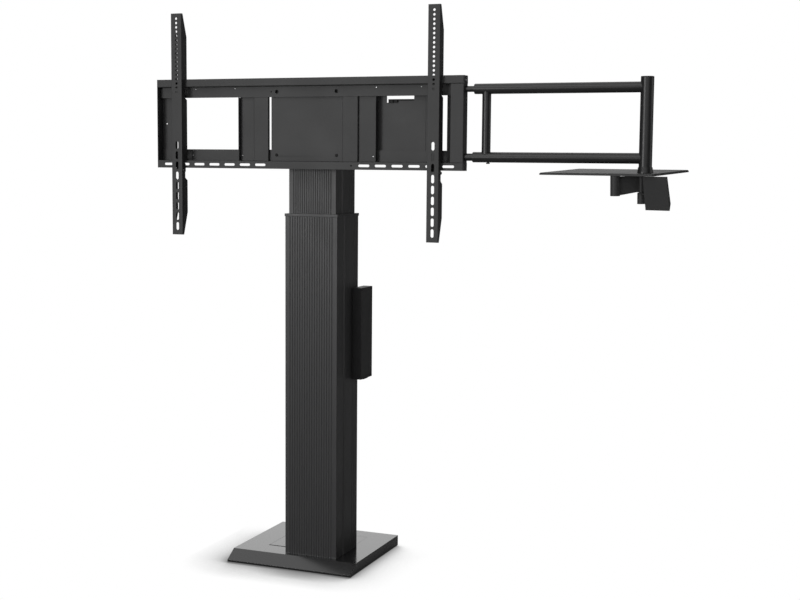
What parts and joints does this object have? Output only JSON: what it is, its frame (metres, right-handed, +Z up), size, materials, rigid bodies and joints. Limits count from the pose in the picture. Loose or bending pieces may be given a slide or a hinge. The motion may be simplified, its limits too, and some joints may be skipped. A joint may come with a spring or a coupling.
{
  "type": "motorized tv stand",
  "caption": "Floor stand with a motor-driven telescopic column, a wide frame with two sliding screen brackets, and a pull-out side arm with a swivelling tray.",
  "frame": {"origin": "on the floor, on the lifting column's axis", "axes": "+Z up, +X towards the side arm, the screen side faces -Y"},
  "size_m": [1.5333, 0.4014, 1.6175],
  "materials": {
    "frame": "satin powder coat",
    "tube_paint": "semi-gloss paint",
    "base_paint": "semi-gloss paint",
    "column_metal": "black anodised, fluted",
    "steel": "plain steel",
    "dark_steel": "blackened steel",
    "gear_bronze": "machined",
    "black_plastic": "matt",
    "box_paint": "matt paint",
    "glide_plastic": "slippery plastic",
    "board": "glass-fibre board",
    "pad_rubber": "matt"
  },
  "bodies": {
    "base": {"base_cover": "base_paint", "access_panel": "base_paint", "base_plate": "dark_steel", "base_pads": "pad_rubber", "column_flange": "dark_steel", "flange_bolts": "steel", "outer_column": "column_metal", "column_trim": "black_plastic", "outer_glides": "glide_plastic", "gear_case": "dark_steel", "gear_case_lid": "dark_steel", "drive_motor": "dark_steel", "spindle_bearing": "steel", "control_box": "box_paint", "control_cover": "box_paint", "control_board": "board", "power_inlet": "black_plastic", "box_screws": "dark_steel"},
    "spindle": {"spindle": "steel", "spindle_gear": "gear_bronze", "spindle_stop": "steel"},
    "motor_shaft": {"motor_pinion": "steel"},
    "lift": {"inner_column": "column_metal", "inner_glides": "glide_plastic", "nut_bridge": "dark_steel", "drive_nut": "gear_bronze", "column_cap": "black_plastic", "head_bracket": "frame", "frame_bolts": "dark_steel", "centre_plate": "frame", "top_rail": "frame", "bottom_rail": "frame", "left_end": "frame", "right_end": "frame", "left_upright": "frame", "right_upright": "frame", "rail_screws": "steel", "device_panel": "frame", "upper_inner_tube": "tube_paint", "lower_inner_tube": "tube_paint", "tube_anchors": "dark_steel"},
    "left_bracket": {"left_bracket": "frame", "left_latch_screw": "dark_steel"},
    "left_latch": {"left_latch": "dark_steel"},
    "right_bracket": {"right_bracket": "frame", "right_latch_screw": "dark_steel"},
    "right_latch": {"right_latch": "dark_steel"},
    "arm": {"upper_outer_tube": "tube_paint", "lower_outer_tube": "tube_paint", "arm_bushes": "black_plastic", "brace_tube": "tube_paint", "arm_post": "tube_paint", "post_cap": "black_plastic", "post_plug": "steel", "swivel_bolt": "steel"},
    "arm_lock": {"arm_lock_screw": "dark_steel"},
    "tray": {"tray": "frame", "tray_collar": "tube_paint"},
    "link": {"swing_link": "frame"},
    "holder": {"holder_bracket": "frame"}
  },
  "joints": [
    {"name": "lift", "type": "slide", "parent": "base", "child": "lift", "axis": [0, 0, 1], "range_m": [-0.15, 0.5]},
    {"name": "spindle_turn", "type": "hinge", "parent": "base", "child": "spindle", "pos_m": [0.025, 0, 0.04], "axis": [0, 0, 1], "range_deg": [-3380, 11255]},
    {"name": "motor_turn", "type": "hinge", "parent": "base", "child": "motor_shaft", "pos_m": [-0.038, 0, 0.04], "axis": [0, 0, 1], "range_deg": [-22505, 6755]},
    {"name": "left_bracket_slide", "type": "slide", "parent": "lift", "child": "left_bracket", "axis": [1, 0, 0], "range_m": [-0.05, 0.25]},
    {"name": "right_bracket_slide", "type": "slide", "parent": "lift", "child": "right_bracket", "axis": [1, 0, 0], "range_m": [-0.25, 0.025]},
    {"name": "left_latch_turn", "type": "hinge", "parent": "left_bracket", "child": "left_latch", "pos_m": [-0.4022, -0.1358, 1.1654], "axis": [1, 0, 0], "range_deg": [-70, 0]},
    {"name": "right_latch_turn", "type": "hinge", "parent": "right_bracket", "child": "right_latch", "pos_m": [0.3978, -0.1358, 1.1654], "axis": [1, 0, 0], "range_deg": [-70, 0]},
    {"name": "arm_slide", "type": "slide", "parent": "lift", "child": "arm", "axis": [1, 0, 0], "range_m": [-0.02, 0.25]},
    {"name": "arm_lock_turn", "type": "hinge", "parent": "arm", "child": "arm_lock", "pos_m": [0.544, -0.1088, 1.1953], "axis": [0, 0, 1], "range_deg": [0, 1080]},
    {"name": "tray_swivel", "type": "hinge", "parent": "arm", "child": "tray", "pos_m": [0.9711, -0.1088, 1.1719], "axis": [0, 0, 1], "range_deg": [-120, 120]},
    {"name": "link_swing", "type": "hinge", "parent": "tray", "child": "link", "pos_m": [0.89722, -0.12565, 1.14039], "axis": [-0.0099, -0.0443, 0.999], "range_deg": [-60, 120]},
    {"name": "holder_turn", "type": "hinge", "parent": "link", "child": "holder", "pos_m": [0.95934, -0.08951, 1.12259], "axis": [-0.0099, -0.0443, 0.999], "range_deg": [-40, 90]}
  ],
  "couplings": [
    {"joint": "spindle_turn", "follows": "lift", "rad_per_m": 392.7},
    {"joint": "motor_turn", "follows": "lift", "rad_per_m": -785.4}
  ]
}
